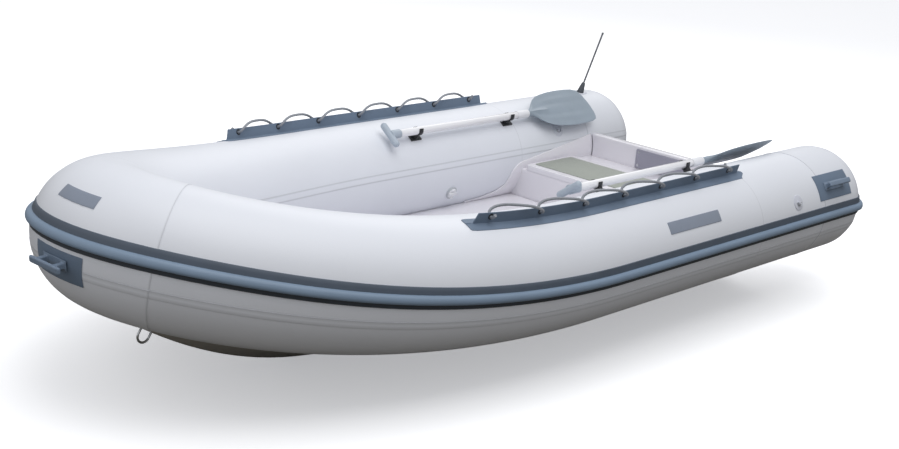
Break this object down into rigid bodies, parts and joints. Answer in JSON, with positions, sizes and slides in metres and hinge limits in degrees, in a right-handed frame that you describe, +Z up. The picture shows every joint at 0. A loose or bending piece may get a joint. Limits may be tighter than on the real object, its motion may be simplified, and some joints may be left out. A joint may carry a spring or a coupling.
{
  "type": "rigid inflatable dinghy",
  "caption": "Small open boat with a U-shaped air-filled collar on a moulded V hull, with a seat locker, transom, stowed oars, grab lines and a flagstaff.",
  "frame": {"origin": "under the middle of the boat, level with the flat of the keel", "axes": "+X towards the bow, +Y to port, +Z up"},
  "size_m": [3.6229, 1.714, 0.8949],
  "materials": {
    "tube_fabric": "satin coated fabric",
    "cone_fabric": "satin coated fabric",
    "inner_fabric": "matt coated fabric",
    "fender_dark": "matt moulded rubber",
    "fender_blue": "satin moulded rubber",
    "patch_blue": "matt patch fabric",
    "patch_grey": "matt patch fabric",
    "hull_laminate": "gel-coated glass laminate",
    "deck_laminate": "gel-coated glass laminate",
    "lid_laminate": "gel-coated glass laminate",
    "nonskid": "textured non-skid",
    "pad_plastic": "fine-grained moulding",
    "stainless": "polished stainless steel",
    "handle_plastic": "grained moulding",
    "black_plastic": "satin moulding",
    "rope_fibre": "laid rope",
    "shaft_white": "gloss white coating over a tube",
    "blade_plastic": "satin moulding",
    "grip_plastic": "satin moulding",
    "sleeve_plastic": "smooth moulding",
    "valve_plastic": "satin moulding",
    "cap_plastic": "satin moulding",
    "boot_rubber": "matt rubber",
    "staff_glass": "satin rod",
    "plate_grey": "blank printed plate"
  },
  "bodies": {
    "boat": {"tube_bow": "tube_fabric", "tube_port_fore": "tube_fabric", "tube_starboard_fore": "tube_fabric", "tube_port_aft": "tube_fabric", "tube_starboard_aft": "tube_fabric", "cone_port": "cone_fabric", "cone_starboard": "cone_fabric", "baffle_port": "inner_fabric", "baffle_starboard": "inner_fabric", "seam_tapes": "inner_fabric", "fender_band": "fender_dark", "fender_ridge": "fender_blue", "hull_shell": "hull_laminate", "deck_liner": "deck_laminate", "seat_shell": "deck_laminate", "transom_core": "hull_laminate", "motor_pad_inner": "pad_plastic", "motor_pad_outer": "pad_plastic", "pad_screws": "stainless", "tow_eye": "stainless", "tow_eye_plate": "stainless", "tow_eye_nuts": "stainless", "hinge_deck_leaves": "stainless", "hinge_pins": "stainless", "handle_patches": "patch_blue", "bow_handle": "handle_plastic", "stern_handle_port": "handle_plastic", "stern_handle_starboard": "handle_plastic", "grab_strip_port": "patch_blue", "grab_strip_starboard": "patch_blue", "eyelets": "black_plastic", "grab_rope_port": "rope_fibre", "grab_rope_starboard": "rope_fibre", "oar_clips_port": "black_plastic", "oar_clips_starboard": "black_plastic", "valve_port": "valve_plastic", "valve_starboard": "valve_plastic", "staff_patch": "patch_grey", "staff_boot": "boot_rubber", "ring_patches": "patch_grey", "name_plates": "plate_grey"},
    "lid": {"locker_lid": "lid_laminate", "lid_pad": "nonskid", "hinge_lid_leaves": "stainless"},
    "cap_port": {"valve_cap_port": "cap_plastic"},
    "cap_starboard": {"valve_cap_starboard": "cap_plastic"},
    "oar_port": {"oar_shaft_port": "shaft_white", "oar_blade_port": "blade_plastic", "oar_grip_port": "grip_plastic", "oar_sleeve_port": "sleeve_plastic"},
    "oar_starboard": {"oar_shaft_starboard": "shaft_white", "oar_blade_starboard": "blade_plastic", "oar_grip_starboard": "grip_plastic", "oar_sleeve_starboard": "sleeve_plastic"},
    "staff": {"flagstaff": "staff_glass"},
    "ring_op": {"ring_outer_port": "stainless"},
    "ring_ip": {"ring_inner_port": "stainless"},
    "ring_os": {"ring_outer_starboard": "stainless"},
    "ring_is": {"ring_inner_starboard": "stainless"}
  },
  "joints": [
    {"name": "lid_hinge", "type": "hinge", "parent": "boat", "child": "lid", "pos_m": [-1.2065, 0, 0.376], "axis": [0, -1, 0], "range_deg": [0, 100]},
    {"name": "cap_turn_port", "type": "hinge", "parent": "boat", "child": "cap_port", "pos_m": [-0.433, 0.40899, 0.31838], "axis": [0, -0.9455, -0.3256], "range_deg": [0, 90]},
    {"name": "cap_turn_starboard", "type": "hinge", "parent": "boat", "child": "cap_starboard", "pos_m": [-0.433, -0.40899, 0.31838], "axis": [0, 0.9455, -0.3256], "range_deg": [0, 90]},
    {"name": "oar_lift_port", "type": "slide", "parent": "boat", "child": "oar_port", "axis": [0, 0, 1], "range_m": [0, 0.1]},
    {"name": "oar_lift_starboard", "type": "slide", "parent": "boat", "child": "oar_starboard", "axis": [0, 0, 1], "range_m": [0, 0.1]},
    {"name": "staff_lift", "type": "slide", "parent": "boat", "child": "staff", "axis": [-0.3584, 0.0489, 0.9323], "range_m": [0, 0.06]},
    {"name": "ring_swing_outer_port", "type": "hinge", "parent": "boat", "child": "ring_op", "pos_m": [-1.15, 0.823, 0.48172], "axis": [1, 0, 0], "range_deg": [0, 150]},
    {"name": "ring_swing_inner_port", "type": "hinge", "parent": "boat", "child": "ring_ip", "pos_m": [-1.15, 0.42577, 0.5095], "axis": [-1, 0, 0], "range_deg": [0, 150]},
    {"name": "ring_swing_outer_starboard", "type": "hinge", "parent": "boat", "child": "ring_os", "pos_m": [-1.15, -0.823, 0.48172], "axis": [-1, 0, 0], "range_deg": [0, 150]},
    {"name": "ring_swing_inner_starboard", "type": "hinge", "parent": "boat", "child": "ring_is", "pos_m": [-1.15, -0.42577, 0.5095], "axis": [1, 0, 0], "range_deg": [0, 150]}
  ]
}
